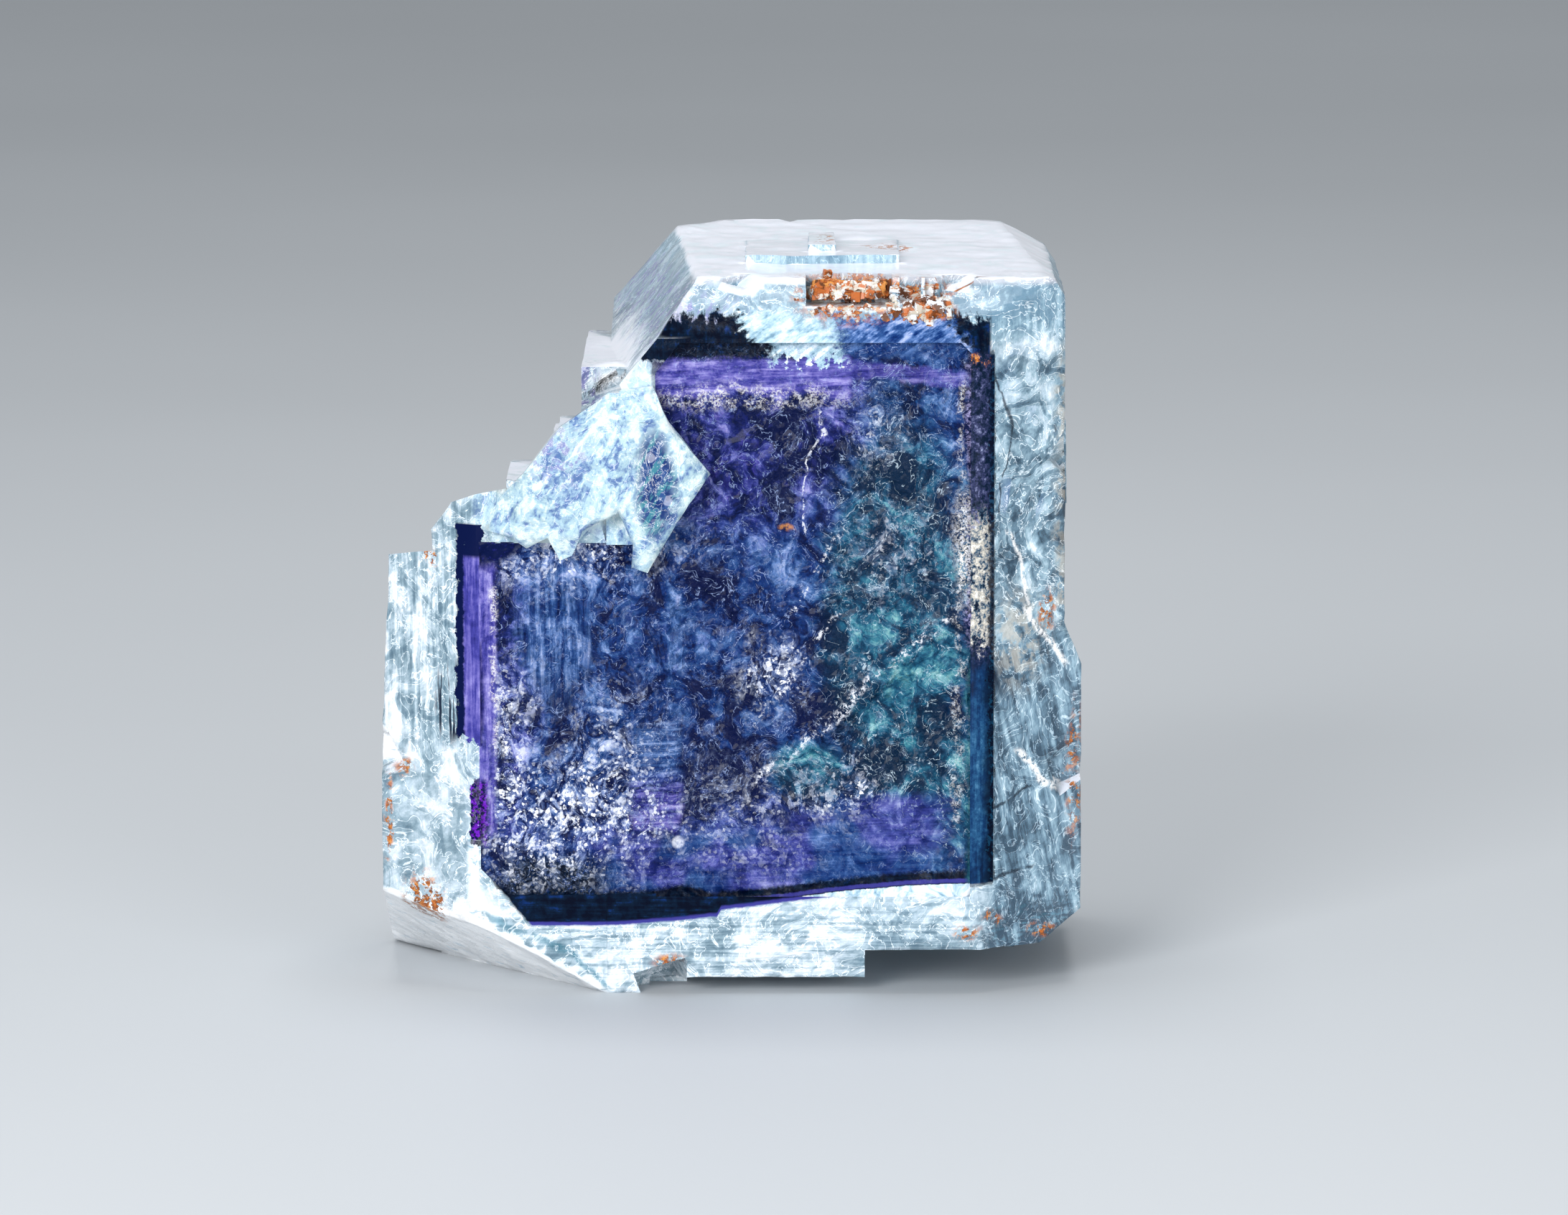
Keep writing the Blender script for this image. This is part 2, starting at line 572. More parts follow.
    def dust(self, colour):
        """Pale dust where the front meets its bevels, thickest halfway up the right side."""
        top = self.oval((0.6, 33.6), (5.4, 0.7), 0.5, self.far_x * 0.5 + self.x * 0.5, self.near_z)
        right = self.line((12.8, 34.5), (12.5, 9.5), 0.30, self.near_x)
        left = self.line((-13.3, 23.0), (-13.2, 13.6), 0.26, self.near_x)
        dust = top * self.patchy.ramp(0.42, 0.56) * 0.8
        dust = dust + right * self.patchy.ramp(0.44, 0.56) * 0.6 + left * self.patchy.ramp(0.42, 0.52) * 0.8
        dust = dust + self.oval((13.2, 25.4), (0.8, 2.8), 0.6, *self.near) * 0.8
        dust_colour = self.mix(self.grains.ramp(0.5, 0.6), CREAM, FROST)
        return self.mix(dust * self.grains.ramp(0.42, 0.52) * 0.8, colour, dust_colour)

    def flaws(self, colour):
        """A pale crack, a rusty speck, a pale dot, and ice below the rim."""
        crack = self.lines(PHANTOM_CRACK, self.near_x)
        colour = self.mix(crack * self.fleck.ramp(0.44, 0.56) * 0.7, colour, FROST)
        speck = self.oval((3.0, 26.2), (0.34, 0.18), 0.6, *self.near)
        colour = self.mix(speck * self.fleck.ramp(0.4, 0.5) * 0.7, colour, ORANGE)
        dot = self.oval((-3.05, 8.5), (0.33, 0.33), 0.3) * (0.25 + self.fleck.ramp(0.35, 0.6) * 0.35)
        colour = self.mix(dot, colour, FROST)
        ice = self.grade(self.noise(0.9, 5.0, 0.6, place=self.swirl) + 0.02, ICE_ZONE)
        return self.mix(self.under_rim, colour, ice)


def zoned_fluorite():
    """The phantom's material: an opaque etched front, with smoother bands along its edges."""
    p = PhantomPaint()
    colour = p.growth_zones()
    colour = p.lower_bands(colour)
    colour = p.left_bands(colour)
    colour = p.top_bands(colour)
    colour = p.right_bands(colour)
    bands = p.most(*p.bands)
    open_front = 1 - p.most(bands, p.right_band * 0.6, p.under_rim)
    colour = p.strokes(colour, open_front)
    colour = p.frost(colour, open_front)
    colour = p.dust(colour)
    colour = p.flaws(colour)
    height = p.coarse_height * 1.3 + p.small_height * 0.5 + p.tiny_height * 0.15 + p.patchy * 0.45
    surface = p.shader(
        Base_Color=colour,
        Roughness=0.18 + p.patchy * 0.25,
        IOR=PHANTOM_IOR,
        Coat_Weight=open_front * 0.08,
        Coat_Roughness=0.1,
        Normal=p.bump(height, 0.55, 1 - bands * 0.85),
    )
    return p.finish(surface)


# Places on the overgrowth's front: an oval's middle and its radii in X and Z.
RUST_SPOTS = (
    ((6.6, 39.2), (3.0, 1.3)),
    ((10.6, 39.1), (1.7, 0.7)),
    ((10.9, 38.2), (1.4, 0.5)),
    ((12.9, 35.7), (1.5, 0.35)),
    ((-6.9, 36.8), (0.4, 0.5)),
    ((-16.9, 24.5), (0.5, 0.4)),
    ((-18.5, 12.4), (0.6, 0.5)),
    ((-19.4, 9.5), (0.2, 2.6)),
    ((-17.4, 4.7), (1.1, 2.0)),
    ((-17.3, 4.3), (1.0, 1.5)),
    ((-3.6, 1.9), (0.9, 0.5)),
    ((13.1, 3.5), (0.7, 0.4)),
    ((14.6, 4.2), (0.6, 0.4)),
    ((17.3, 3.3), (0.7, 0.4)),
    ((17.7, 21.3), (0.4, 1.2)),
    ((19.2, 12.0), (0.4, 3.4)),
)
FLAKE_PLACES = (
    ((-15.0, 13.2), (1.5, 1.3)),
    ((-14.9, 7.0), (1.7, 1.5)),
)

# Single flaws at the right: a line's two ends in X and Z, and its width.
LEVEL_CRACKS = (
    ((14.3, 10.3), (16.9, 11.5), 0.12),
    ((13.8, 6.3), (16.9, 6.9), 0.16),
)
UPRIGHT_CRACKS = (
    ((14.6, 34.8), (15.6, 32.2), 0.12),
    ((15.6, 32.2), (14.8, 27.0), 0.10),
)
LEVEL_STREAKS = (
    ((17.2, 11.7), (18.4, 11.3), 0.30),
)
UPRIGHT_STREAKS = (
    ((16.0, 13.6), (17.4, 11.6), 0.26),
    ((16.2, 21.7), (18.8, 18.2), 0.24),
    ((15.4, 26.0), (16.8, 21.0), 0.20),
)

# How the phantom's lower left chamfer faces in X and Z, and a point that it passes through.
CHAMFER_FACING = (0.763, 0.647)
CHAMFER_POINT = (-15.2, 8.36)


class OvergrowthPaint(CrystalPaint):
    """The overgrowth's paint: clear and milky patches, growth striations and rusty stains."""

    def __init__(self):
        super().__init__("clear_fluorite", far_reach=3.0, near_reach=1.2)
        facing = self.node("ShaderNodeTexCoord", output="Normal")
        _, self.facing_back, self.facing_up = self.parts(facing)
        self.flaky = self.noise(1.9, 4.0, 0.75)
        swirl = self.bent(0.22, 14.0)
        self.cloud = self.noise(0.4, 5.0, 0.58, place=swirl)
        self.wisps = self.noise(1.5, 4.0, 0.66)
        self.veins = (self.noise(0.8, 3.0, 0.55, place=swirl) - 0.5).size().ramp(0.02, 0.0)
        self.rough = self.wisps * 0.6 + self.fleck * 0.4
        self.jitter = (self.wisps - 0.5) * 0.5
        self.upright = self.hatch(90.0, 3.2, 0.06, 4.0)
        self.level = self.hatch(0.0, 3.2, 0.06, 3.0)
        self.slant = self.hatch(38.0, 2.6, 0.16, 3.0)
        self.steep = self.hatch(58.0, 2.2, 0.22, 3.0)
        self.mid_height, self.mid_shade = self.shards(0.7, (1.0, 1.0, 0.5), (0.3, -0.6, 0.4))
        self.mark_faces()
        self.mark_bevels()
        self.tone = self.cloudy_tone()

    def mark_faces(self):
        """The shares of the overgrowth's own parts. What faces the front is shown in the photograph."""
        self.shown = self.y.ramp(-6.0, -9.0)
        self.top_face = self.facing_up.ramp(0.6, 0.9)
        self.plate = self.oval((-7.8, 28.9), (7.4, 6.4), 0.2, *self.far) * self.y.ramp(-12.6, -13.0)
        self.tall_face = self.z.ramp(36.0, 37.5)
        self.left = self.x.ramp(-12.5, -14.5) * self.z.within(5.5, 28.0, 1.0)
        self.right = self.x.ramp(13.0, 15.0) * self.near_z.ramp(37.2, 34.6)
        self.low_right = self.right * self.near_z.ramp(20.5, 18.5)
        self.base = self.z.ramp(6.2, 3.6)
        self.wedge = self.facing_up.ramp(-0.1, -0.35) * self.x.ramp(-6.0, -8.0)
        flakes = self.patches(FLAKE_PLACES, 0.3, *self.near)
        self.flakes = (flakes + (self.wisps - 0.5) * 2.4).ramp(0.45, 0.55)
        splinter = self.line((14.2, 18.6), (15.6, 15.8), 0.6, self.near_x) * self.z.ramp(15.6, 18.0)
        hatched = self.oval((-15.8, 16.4), (0.9, 2.6), 0.3, self.near_x, self.z)
        self.splinter = splinter + hatched * self.upright.ramp(0.46, 0.54) * self.shown

    def mark_bevels(self):
        """Heights and shares that follow the phantom's bevels, over which the overgrowth is stained."""
        self.over_rim = self.z - self.rim_height(3.85, self.x)
        across = (self.x - CHAMFER_POINT[0]) * CHAMFER_FACING[0]
        self.chamfer = across + (self.z - CHAMFER_POINT[1]) * CHAMFER_FACING[1] + self.jitter
        self.side = self.y.ramp(-10.0, -11.0) * self.over_rim.ramp(0.0, 0.2)
        self.narrow = self.z.ramp(13.6, 13.0) * 0.75

    def cloudy_tone(self):
        """From steel blue to white: swirled clouds with growth striations over them.

        The photograph shows the front alone: the other sides are calmer, with the same texture.
        """
        leaning = self.hatch(104.0, 3.0, 0.05, 3.0)
        tone = self.cloud * 0.55 + self.wisps * 0.17 + self.fleck * 0.05
        tone = tone + (self.mid_shade - 0.5) * 0.06 + 0.095
        upright_share = self.left * self.near_z.ramp(11.0, 16.0) * 0.5 + self.tall_face * 0.3 + 0.08
        tone = tone + (self.upright - 0.5) * upright_share
        tone = tone + (self.level - 0.5) * self.base * 0.6 + (leaning - 0.5) * self.low_right * 0.6
        tone = tone + (self.slant - 0.5) * 0.20 - self.tall_face * (1 - self.top_face) * 0.14
        tone = tone - self.left * (self.near_z.ramp(14.0, 9.0) * 0.04 + 0.01)
        tone = tone - self.base * self.x.ramp(5.0, 10.0) * 0.07
        contrast = self.shown * 0.3 + 0.55 - self.low_right * 0.3
        return (tone - 0.5) * contrast + 0.505 - self.tall_face * 0.01 + self.veins * 0.07

    def shell_tint(self):
        """The shell's colours: milky blue, cloudier at the right, with white, cream, teal and purple."""
        tint = self.grade(self.tone, ICE_ZONE)
        dark_tone = self.tone * 1.1 - 0.07 - self.near_z.ramp(31.0, 26.0) * 0.025 - self.low_right * 0.05
        tint = self.mix(self.right * 0.95, tint, self.grade(dark_tone, CLOUDY_ZONE))
        tint = self.mix(self.wedge * (1 - self.level.ramp(0.56, 0.66)), tint, WHITE_ICE)
        cream = self.line((18.7, 36.0), (18.6, 21.0), 0.9, self.near_x)
        cream = cream + self.oval((16.0, 20.0), (1.4, 2.6), 0.6, *self.near)
        tint = self.mix(cream * self.shown * self.wisps.ramp(0.42, 0.56) * 0.65, tint, CREAM)
        hollow = self.oval((16.0, 27.9), (1.1, 1.2), 0.5, *self.near)
        hollow = hollow + self.oval((16.0, 34.2), (1.1, 1.6), 0.6, *self.far) * 0.3
        tint = self.mix(hollow * self.mid_shade.ramp(0.2, 0.7), tint, LIGHT_SLATE)
        base_lines = self.base * self.level.ramp(0.54, 0.66) * self.x.ramp(-12.0, -8.0)
        tint = self.mix(base_lines * 0.4, tint, TEAL_SHADE)
        wedge_line = self.line((-14.3, 4.5), (-8.9, 2.2), 0.4, *self.near)
        wedge_line = wedge_line + self.line((-8.9, 2.4), (-6.9, 0.2), 0.25, self.near_x)
        tint = self.mix(wedge_line * self.wisps.ramp(0.36, 0.5) * 0.7, tint, TEAL_SHADE)
        hair = self.oval((-4.0, 37.6), (4.2, 1.9), 0.5, *self.far)
        hair = hair + self.oval((-8.2, 32.6), (0.9, 3.2), 0.5, *self.near)
        return self.mix(hair * self.upright.ramp(0.48, 0.60) * 0.8, tint, LIGHT_PURPLE)

    def top_tint(self, tint):
        """The calm, pale top, and the grey walls of its growth terraces."""
        tint = self.mix(self.top_face * 0.9, tint, self.mix(self.cloud.ramp(0.36, 0.5), ICE, LAVENDER))
        step_walls = self.z.ramp(39.5, 39.9) * self.y.ramp(-11.9, -11.5) * (1 - self.top_face)
        return self.mix(step_walls * self.shown, tint, STEP_GREY)

    def plate_tint(self, tint):
        """The milky plate over the phantom's upper left, with a purple patch and a blue inlet."""
        tone = self.cloud * 0.3 + self.wisps * 0.5 + self.fleck * 0.18 + (self.mid_shade - 0.5) * 0.08
        tone = tone + (self.steep - 0.5) * 0.3 - 0.035
        tint = self.mix(self.plate * 0.95, tint, self.grade(tone, PLATE_ZONE))
        purple = self.oval((-9.6, 30.4), (1.6, 1.8), 0.5, *self.near) * self.plate
        tint = self.mix(purple * self.wisps.ramp(0.50, 0.58) * 0.7, tint, LIGHT_PURPLE)
        inlet = self.oval((-4.2, 28.9), (1.1, 2.9), 0.35, *self.near) * self.plate
        blue = self.mix(self.wisps.ramp(0.44, 0.56), DEEP_BLUE, SLATE)
        tint = self.mix(inlet, tint, self.mix(self.steep.ramp(0.5, 0.62), blue, LIGHT_TEAL))
        thin_lines = (tone - 0.5).size().ramp(0.010, 0.0)
        return self.mix(self.plate * thin_lines * 0.5, tint, WHITE_ICE)

    def flaws(self, tint):
        """White veins, dark splinters and cracks beside the phantom, and white streaks."""
        tint = self.mix(self.veins * (1 - self.low_right * 0.6) * self.shown * 0.45, tint, WHITE_ICE)
        cracks = self.lines(LEVEL_CRACKS, self.x, self.near_z) + self.lines(UPRIGHT_CRACKS, self.near_x)
        cracks = cracks * self.wisps.ramp(0.40, 0.50) * 0.8
        tint = self.mix(self.most(self.splinter, cracks), tint, BLACK_GREEN)
        streaks = self.lines(LEVEL_STREAKS, self.x, self.near_z) + self.lines(UPRIGHT_STREAKS, self.near_x)
        return self.mix(streaks * self.fleck.ramp(0.38, 0.5), tint, WHITE_ICE)

    def top_band(self, tint):
        """Over the phantom's top bevel: black at both ends, and between them icy, then blue."""
        bevel = self.y.ramp(-8.5, -9.5) * self.x.within(-5.5, 14.4, 0.15) * self.facing_back.ramp(-0.2, -0.4)
        upper_edge = (self.near_z + (self.upright - 0.5) * 2.4).ramp(38.4, 37.9)
        lower_edge = (self.z + (self.wisps - 0.5) * 1.2).ramp(35.5, 35.7)
        band = bevel * upper_edge * lower_edge
        lit = self.z.ramp(35.6, 35.9) * 0.035
        icy = self.grade(self.slant * 0.6 + self.wisps * 0.4 - 0.02 - lit, ICE_ZONE)
        blue = self.grade(self.slant + self.wisps * 0.5 - 0.14 - lit, BLUE_ZONE)
        black = self.grade(self.upright * 0.4 + self.wisps * 0.5 + 0.03, BLACK_ZONE)
        leaning_x = self.near_x + (self.z - 36.6) * 0.6 + (self.flaky - 0.5) * 3.0 + (self.slant - 0.5) * 2.0
        ends = self.most(leaning_x.ramp(1.7, 0.9), leaning_x.ramp(12.6, 13.3))
        colour = self.mix(ends, self.mix(leaning_x.ramp(5.4, 6.6), icy, blue), black)
        self.bands.append(band)
        return self.mix(band, tint, colour)

    def low_band(self, tint):
        """Over the phantom's lower bevel: black, with a purple line on the rim."""
        above_rim = self.over_rim + self.jitter * 0.4
        band = above_rim.ramp(-0.08, 0.08) * (above_rim - self.x.ramp(1.4, 0.4) * 1.6).ramp(0.7, 0.6)
        band = band * (self.chamfer - 0.05).ramp(-0.1, 0.1)
        band = band * self.z.ramp(5.95, 5.8) * self.y.ramp(-10.0, -11.0)
        colour = self.grade(self.level * 0.4 + self.wisps * 0.5 + 0.03, BLACK_ZONE)
        colour = self.mix(above_rim.ramp(0.3, 0.15) * 0.9, colour, PURPLE)
        self.bands.append(band)
        return self.mix(band, tint, colour)

    def right_band(self, tint):
        """Over the right bevel: speckled lilac, a cream chunk, glassy teal below, and a black edge."""
        band = self.side * self.x.within(12.9, 14.6, 0.03) * self.z.ramp(36.2, 35.9)
        colour = self.grade(self.fleck * 0.4 + self.flaky * 0.6 - 0.01, SPECKLED_ZONE)
        chunk = (self.near_z + (self.flaky - 0.5) * 6.0).within(19.8, 27.0, 0.5)
        chunk_colour = self.grade(self.flaky * 0.6 + self.fleck * 0.4 - 0.02, CHUNK_ZONE)
        colour = self.mix(chunk * self.flaky.ramp(0.36, 0.48), colour, chunk_colour)
        glass_tone = self.rough * 0.7 + self.upright * 0.5 - 0.12
        glass_tone = glass_tone - self.near_z.ramp(14.0, 18.5) * 0.1 - self.near_z.ramp(9.5, 7.0) * 0.1
        glass = self.mix(0.45, self.grade(glass_tone, TEAL_ZONE), self.grade(glass_tone, BLUE_ZONE))
        glass = self.mix((self.near_x + self.wander).ramp(13.6, 14.5), glass, BLACK_GREEN)
        colour = self.mix(self.near_z.ramp(19.6, 18.2), colour, glass)
        edge_line = (self.x + (self.flaky - 0.5) * 1.6).ramp(14.2, 14.45)
        edge_colour = self.mix(self.fleck.ramp(0.5, 0.6), NEAR_BLACK, DARK_TEAL)
        self.bands.append(band)
        return self.mix(band, tint, self.mix(edge_line * 0.95, colour, edge_colour))

    def left_band(self, tint):
        """Over the left bevel: purple with a navy edge and magenta bits, broken by flakes and gaps."""
        across = self.x - self.narrow + (self.wisps - 0.5)
        band = self.side * across.within(-15.4, -13.9, 0.03) * self.z.within(8.7, 26.5, 0.05)
        gaps = (self.z + (self.flaky - 0.5) * 6).ramp(13.4, 13.2) * self.wisps.ramp(0.48, 0.45)
        band = band * (1 - self.flakes) * (1 - gaps)
        colour = self.grade(self.upright * 0.5 + self.wisps * 0.3 + 0.16, PURPLE_ZONE)
        colour = self.mix((self.x + (self.rough - 0.5) * 0.6).ramp(-14.9, -15.05), colour, NAVY)
        bits = self.mix(self.fleck.ramp(0.45, 0.6), NAVY, MAGENTA)
        colour = self.mix(self.near_z.ramp(13.6, 13.0), colour, bits)
        colour = self.mix(self.z.ramp(24.5, 24.8), colour, NAVY)
        self.bands.append(band)
        return self.mix(band, tint, colour)

    def rust_share(self):
        """Where it is rusty: spots on the front's edges, stains on the top, and a crack across it."""
        spots = self.patches(RUST_SPOTS, 0.5, *self.near) * self.y.ramp(-8.0, -9.0)
        stains = self.oval((5.2, 1.5), (0.5, 3.0), 0.5, self.near_x, self.y)
        stains = stains + self.oval((8.8, 1.0), (1.4, 1.2), 0.5, self.near_x, self.y)
        crack = (self.y + self.wander * 0.5).within(-9.95, -9.75, 0.08) * self.x.within(9.0, 18.0, 0.3)
        crack = crack * self.facing_up.ramp(0.5, 0.8) * self.x.ramp(14.5, 13.5)
        stains = stains * self.top_face * self.flaky.ramp(0.52, 0.56)
        return spots * self.flaky.ramp(0.47, 0.54) + stains + crack

    def window_share(self):
        """Where it is clear: over the phantom's bevels, up to a ragged outline."""
        across = self.x + self.jitter
        low = (across - self.narrow).within(-15.4, 4.0, 0.08) * self.z.ramp(26.6, 26.45)
        tall = self.box((-4.5, 0.0), (14.62, 36.2), 0.08, across, self.z)
        window = self.most(low, tall) * (self.over_rim + self.jitter * 0.5).ramp(-0.1, 0.1)
        return window * self.y.ramp(-10.0, -11.0) * (1 - self.flakes) * self.chamfer.ramp(-0.1, 0.1)

    def broken_height(self):
        """The relief of its broken faces, from 0 to about 1."""
        big_height, _ = self.shards(0.26, (1.0, 1.0, 0.6), (0.5, 0.7, 0.2))
        small_height, _ = self.shards(2.2, (1.0, 1.0, 0.6), (0.7, 0.4, 0.1))
        return big_height * 0.9 + self.mid_height * 0.4 + small_height * 0.12 + self.wisps * 0.14


def clear_fluorite():
    """The overgrowth's material: clear glass that mixes to milk, over a pale blue volume."""
    p = OvergrowthPaint()
    tint = p.shell_tint()
    tint = p.top_tint(tint)
    tint = p.plate_tint(tint)
    tint = p.flaws(tint)
    tint = p.top_band(tint)
    tint = p.low_band(tint)
    tint = p.right_band(tint)
    tint = p.left_band(tint)
    bands = p.most(*p.bands)
    rust = p.rust_share()
    rusty = p.mix(p.fleck.ramp(0.46, 0.62), p.mix(p.flaky.ramp(0.5, 0.62), BROWN, RUST), ORANGE)
    tint = p.mix(rust, tint, rusty)

    window = p.window_share()
    milky = p.tone.ramp(0.38, 0.60) * 0.4 + 0.55 + p.tall_face * 0.25 + p.top_face * 0.3 + p.veins * 0.2
    milky = milky + p.splinter + p.wedge + p.plate * 0.3
    milky = milky * (1 - window * (1 - p.plate)) + rust + bands
    strength = (1 - window * 0.92) * (1 - p.top_face * 0.9) * (1 - p.low_right * 0.6)
    normal = p.bump(p.broken_height(), 0.7, strength)
    clear = p.shader(
        Base_Color=p.mix(0.3, (1.0, 1.0, 1.0), tint),
        Roughness=0.03 + p.wisps.ramp(0.4, 0.7) * 0.1 * (1 - window),
        IOR=FLUORITE_IOR,
        Transmission_Weight=1.0,
        Normal=normal,
    )
    milk = p.shader(
        Base_Color=tint,
        Roughness=0.3,
        IOR=PHANTOM_IOR,
        Coat_Weight=0.5 * (1 - bands),
        Coat_Roughness=0.06,
        Normal=normal,
    )
    surface = p.node("ShaderNodeMixShader", links={0: milky, 1: clear, 2: milk})
    absorb = p.node("ShaderNodeVolumeAbsorption", links={"Color": (0.66, 0.84, 0.92), "Density": 20.0})
    return p.finish(surface, absorb)


def iron_oxide():
    """Rust: crumbly orange and brown, with pale grains of fluorite in it."""
    p = Paint("iron_oxide")
    flaky = p.noise(1.6, 4.0, 0.7)
    colour = p.mix(flaky.ramp(0.46, 0.56), BROWN, RUST)
    colour = p.mix(p.noise(2.4, 4.0).ramp(0.5, 0.60), colour, ORANGE)
    pale_grains = p.mix(flaky.ramp(0.4, 0.6), CREAM, WHITE_ICE)
    colour = p.mix(p.noise(1.3, 4.0, 0.6).ramp(0.52, 0.58), colour, pale_grains)
    surface = p.shader(Base_Color=colour, Roughness=0.85, Normal=p.bump(flaky, 0.3))
    return p.finish(surface)


def pale_and_rusty():
    """The notch's small blocks: pale or cream crystal, and brown to rusty where it is stained."""
    p = Paint("notch_crystals")
    flaky = p.noise(0.9, 4.0, 0.7)
    tint = p.mix(flaky.ramp(0.44, 0.54), ICE, CREAM)
    stained = p.noise(1.1, 4.0, 0.7, stretch=(1, 1, 1.4)).ramp(0.46, 0.52)
    tint = p.mix(stained, tint, p.mix(flaky.ramp(0.44, 0.56), BROWN, RUST))
    return p.finish(p.shader(Base_Color=tint, Roughness=0.35, IOR=FLUORITE_IOR))


def copied_mesh(node):
    """A CAD node's mesh with its seams closed, ready for finer work."""
    bm = bmesh.new()
    bm.from_mesh(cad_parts[node].data)
    bmesh.ops.remove_doubles(bm, verts=bm.verts, dist=0.002 * MM)
    return bm


def to_piece(name, bm, node, finish, crease=40.0):
    """Turns the mesh into a shown piece that stands for a CAD node."""
    mesh = bpy.data.meshes.new(name)
    bm.to_mesh(mesh)
    bm.free()
    mesh.shade_smooth()
    mesh.set_sharp_from_angle(angle=math.radians(crease))
    mesh.materials.append(finish)
    piece = bpy.data.objects.new(name, mesh)
    bpy.context.scene.collection.objects.link(piece)
    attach(piece, "root")
    if node:
        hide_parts(node)
    return piece


# How far the phantom's flat sides move out, and the least area in mm2 of what counts as one.
PHANTOM_GROWTH = 0.34
PLANE_AREA = 3.0
# Its etched front faces this way at least, and lies before this place in Y.
FRONT_FACING_Y = -0.3
FRONT_PLACE_Y = -10.5
FRONT_CUTS = 3
FRONT_SMOOTHING = 3
ETCH_DEPTH = 0.16


def plane_key(face):
    return tuple(round(value, 2) + 0.0 for value in face.normal)


def grow_flat_sides(bm):
    """Moves the phantom's flat sides out, into the overgrowth, so that no air shows between them."""
    areas = {}
    for face in bm.faces:
        areas[plane_key(face)] = areas.get(plane_key(face), 0.0) + face.calc_area() / MM**2
    moves = {}
    for v in bm.verts:
        planes = {plane_key(f): f.normal.copy() for f in v.link_faces if areas[plane_key(f)] > PLANE_AREA}
        if planes:
            normals = np.array(list(planes.values()))
            move = np.linalg.lstsq(normals, np.full(len(normals), PHANTOM_GROWTH), rcond=0.05)[0]
            size = np.linalg.norm(move)
            moves[v] = Vector(move) * min(1.0, 2.0 * PHANTOM_GROWTH / size)
    for v, move in moves.items():
        v.co += move * MM
    return {key for key, area in areas.items() if area > PLANE_AREA}


def broken(place, scale):
    """The height of small flat planes, each tilted its own way, as on a broken face."""
    scaled = place * scale
    middle = noise.voronoi(scaled)[1][0]
    return (scaled - middle).dot(noise.cell_vector(middle * 3.1) - Vector((0.5, 0.5, 0.5)))


def etched(place):
    """The fine relief of the etched front in millimetres: crinkles, small steps and grains."""
    crinkle = noise.ridged_multi_fractal(place * 0.55, 0.8, 2.1, 5, 0.9, 2.0)
    grain = noise.noise(place * 2.3) + 0.6 * noise.noise(place * 4.7)
    step = noise.noise(place * 0.8) * 4.0
    facets = broken(place, 0.7) * 1.6 + broken(place, 1.9) * 0.8
    return 0.4 * (crinkle - 1.0) + 0.5 * grain + 0.3 * (step - math.floor(step)) + facets


def make_phantom():
    bm = copied_mesh("phantom_cube")
    flat = grow_flat_sides(bm)
    facing = [f for f in bm.faces if f.normal.y < FRONT_FACING_Y]
    front = [f for f in facing if f.calc_center_median().y < FRONT_PLACE_Y * MM]
    relief_faces = [f for f in front if plane_key(f) not in flat]
    relief_verts = {v for f in relief_faces for v in f.verts}
    rim = {v for f in bm.faces if f not in set(relief_faces) for v in f.verts}
    edges = list({e for f in relief_faces for e in f.edges})
    bmesh.ops.smooth_vert(bm, verts=list(relief_verts - rim), factor=0.5, use_axis_y=True)
    bmesh.ops.subdivide_edges(bm, edges=edges, cuts=FRONT_CUTS, use_grid_fill=True)
    bmesh.ops.triangulate(bm, faces=bm.faces)
    bm.normal_update()
    body_verts = {v for f in bm.faces if plane_key(f) in flat for v in f.verts}
    inner = [v for v in bm.verts if v not in body_verts]
    for _ in range(FRONT_SMOOTHING):
        bmesh.ops.smooth_vert(bm, verts=inner, factor=0.5, use_axis_x=True, use_axis_y=True, use_axis_z=True)
    for v in inner:
        v.co.y -= etched(v.co / MM) * ETCH_DEPTH * MM
    return to_piece("phantom", bm, "phantom_cube", zoned_fluorite(), 70.0)


# The overgrowth's longest edge before it is cut, its unevenness, and what lies round the phantom.
OVERGROWTH_EDGE = 0.78
OVERGROWTH_WAVE = 0.05
POCKET_REACH = 0.5
FLAT_BASE_TOP = 0.05
# The milky plate: its front in Y, its span in X, its lowest Z, and the height of its lumps.
PLATE_FRONT_Y = -12.95
PLATE_SPAN_X = (-14.0, -0.5)
PLATE_LOW_Z = 23.0
PLATE_LUMPS = 0.9


def make_overgrowth():
    bm = copied_mesh("clear_overgrowth")
    low, high = (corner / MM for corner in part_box("phantom_cube"))

    def in_pocket(v):
        place = v.co / MM
        return all(low[i] - POCKET_REACH < place[i] < high[i] + POCKET_REACH for i in range(3))

    for _ in range(4):
        long_edges = [e for e in bm.edges if e.calc_length() > OVERGROWTH_EDGE * MM]
        long_edges = [e for e in long_edges if not (in_pocket(e.verts[0]) and in_pocket(e.verts[1]))]
        if not long_edges:
            break
        bmesh.ops.subdivide_edges(bm, edges=long_edges, cuts=1)
        bmesh.ops.triangulate(bm, faces=bm.faces)
    for v in bm.verts:
        if in_pocket(v) or v.co.z < FLAT_BASE_TOP * MM:
            continue
        place = v.co / MM
        wave = noise.noise_vector(place * 0.8) + 0.6 * noise.noise_vector(place * 1.9)
        v.co += wave * OVERGROWTH_WAVE * MM
        on_plate = PLATE_SPAN_X[0] < place.x < PLATE_SPAN_X[1] and place.z > PLATE_LOW_Z
        if on_plate and place.y < PLATE_FRONT_Y:
            v.co.y += (broken(place, 0.9) * 0.8 + broken(place, 2.0) * 0.3) * PLATE_LUMPS * MM
    return to_piece("overgrowth", bm, "clear_overgrowth", clear_fluorite(), 25.0)


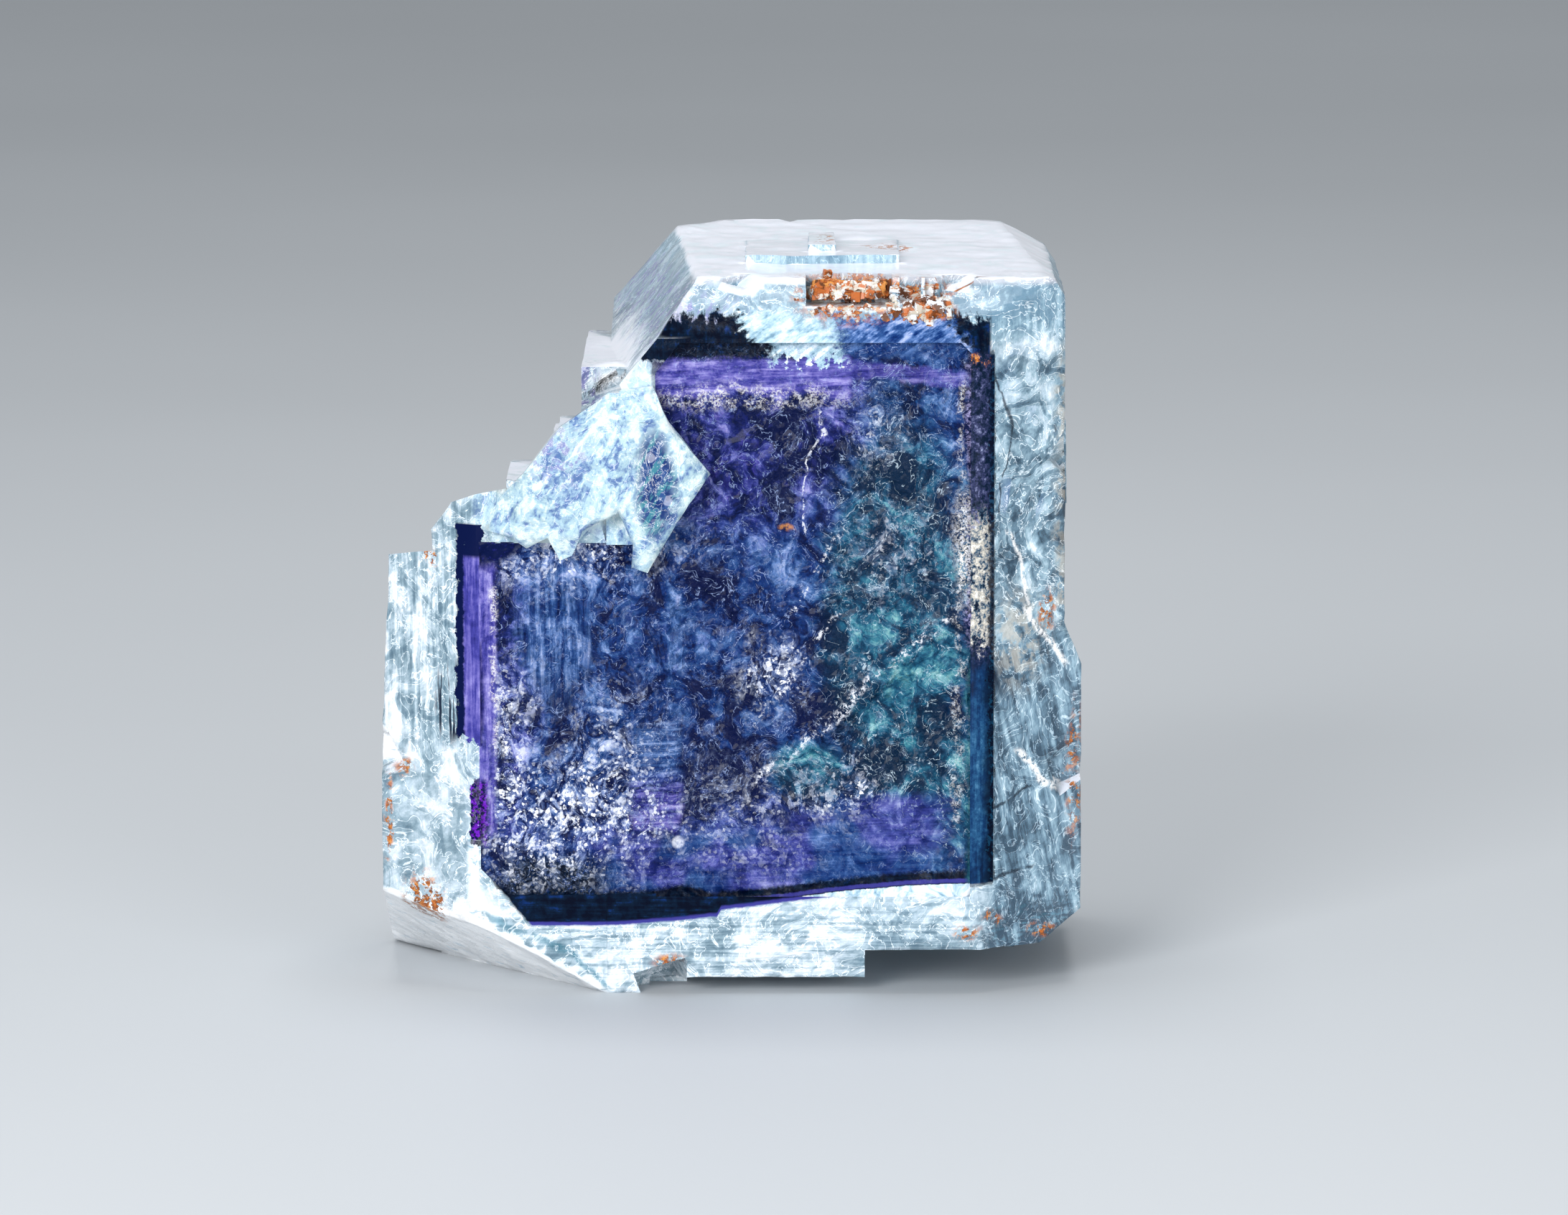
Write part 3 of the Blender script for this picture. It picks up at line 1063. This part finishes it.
NOTCH_BLOCKS = 220
NOTCH_RIM = ((4.2, 38.9), (9.2, 38.8), (11.6, 38.5))
NOTCH_SPREAD = (0.4, 0.45)
NOTCH_SIZES = (0.15, 0.6)
NOTCH_TILT = 0.35
NOTCH_STRETCH = (0.6, 1.5)
BEFORE_FRONT_Y = -20.0


def make_notch_crystals(*grounds):
    """Small pale and rusty blocks along the notch's lower lip, which break its straight outline."""
    rng = np.random.default_rng(11)
    depsgraph = bpy.context.evaluated_depsgraph_get()
    surfaces = [BVHTree.FromObject(ground, depsgraph) for ground in grounds]
    bm = bmesh.new()
    for _ in range(NOTCH_BLOCKS):
        along = rng.uniform(0, len(NOTCH_RIM) - 1)
        start, end = NOTCH_RIM[int(along)], NOTCH_RIM[int(along) + 1]
        middle = [a + (b - a) * (along % 1.0) for a, b in zip(start, end)]
        x, z = rng.normal(middle, NOTCH_SPREAD)
        size = rng.uniform(*NOTCH_SIZES) ** 2 / NOTCH_SIZES[1]
        turn = Euler(rng.normal(0.0, NOTCH_TILT, 3)).to_matrix().to_4x4()
        stretch = Matrix.Diagonal((*rng.uniform(*NOTCH_STRETCH, 3), 1.0))
        before = Vector((x, BEFORE_FRONT_Y, z)) * MM
        found = [surface.ray_cast(before, Vector((0.0, 1.0, 0.0)))[0] for surface in surfaces]
        place = min((hit for hit in found if hit is not None), key=lambda hit: hit.y, default=None)
        if place is not None:
            bmesh.ops.create_cube(bm, size=size * MM, matrix=Matrix.Translation(place) @ turn @ stretch)
    return to_piece("notch_crystals", bm, None, pale_and_rusty(), 10.0)


# The crust's lumps: how many waves in a millimetre, and their height.
CRUST_LUMPS = ((3.0, 0.12), (8.0, 0.06))


def make_crust():
    bm = copied_mesh("iron_oxide_crust")
    for _ in range(3):
        bmesh.ops.subdivide_edges(bm, edges=bm.edges[:], cuts=1, use_grid_fill=True)
    bmesh.ops.triangulate(bm, faces=bm.faces)
    for v in bm.verts:
        place = v.co / MM
        for waves, height in CRUST_LUMPS:
            v.co += noise.noise_vector(place * waves) * height * MM
    return to_piece("rust_crust", bm, "iron_oxide_crust", iron_oxide(), 60.0)


def make_camera():
    back = Vector((0.0, -math.cos(CAMERA_ELEVATION), math.sin(CAMERA_ELEVATION)))
    data = bpy.data.cameras.new("camera")
    data.lens = CAMERA_LENS
    data.sensor_width = CAMERA_SENSOR
    data.clip_start = 0.01
    data.clip_end = 50.0
    camera = bpy.data.objects.new("camera", data)
    camera.location = (Vector(CAMERA_TARGET) + back * CAMERA_DISTANCE) * MM
    camera.rotation_euler = (-back).to_track_quat("-Z", "Y").to_euler()
    bpy.context.scene.collection.objects.link(camera)
    bpy.context.scene.camera = camera


FLOOR_HALF_SIZE = 8000.0
FLOOR_GREYS = (linear("#c2c6ca"), linear("#c8ccd0"))


def make_floor():
    p = Paint("studio_floor")
    tone = p.mix(p.noise(0.004, 3.0).ramp(0.3, 0.7), *FLOOR_GREYS)
    finish = p.finish(p.shader(Base_Color=tone, Roughness=0.6))
    bm = bmesh.new()
    bmesh.ops.create_grid(bm, x_segments=1, y_segments=1, size=FLOOR_HALF_SIZE * MM)
    mesh = bpy.data.meshes.new("floor")
    bm.to_mesh(mesh)
    bm.free()
    mesh.materials.append(finish)
    floor = bpy.data.objects.new("floor", mesh)
    bpy.context.scene.collection.objects.link(floor)


# Square soft lamps: a name, a place and a size in millimetres, and the power in watts.
LAMPS = (
    ("key_lamp", (-180, -440, 190), 200, 2.1),
    ("fill_lamp", (240, -420, 60), 240, 1.2),
    ("back_lamp", (0, 60, 430), 240, 0.85),
)
LAMP_AIM = (0.0, 0.0, 20.0)
SKY_TINT = (0.92, 0.96, 1.0, 1.0)
SKY_STRENGTH = 0.45


def add_lamp(name, place, size, watts):
    """A square soft lamp that faces the specimen's middle."""
    data = bpy.data.lights.new(name, "AREA")
    data.shape = "SQUARE"
    data.size = size * MM
    data.energy = watts
    lamp = bpy.data.objects.new(name, data)
    lamp.location = Vector(place) * MM
    aim = Vector(LAMP_AIM) * MM - lamp.location
    lamp.rotation_euler = aim.to_track_quat("-Z", "Y").to_euler()
    bpy.context.scene.collection.objects.link(lamp)


def make_lights():
    for lamp in LAMPS:
        add_lamp(*lamp)
    world = bpy.data.worlds.new("studio")
    world.use_nodes = True
    background = world.node_tree.nodes["Background"]
    background.inputs["Color"].default_value = SKY_TINT
    background.inputs["Strength"].default_value = SKY_STRENGTH
    bpy.context.scene.world = world
    bpy.context.scene.view_settings.view_transform = "Standard"


make_camera()
make_floor()
make_lights()
make_phantom()
make_notch_crystals(make_overgrowth(), make_crust())
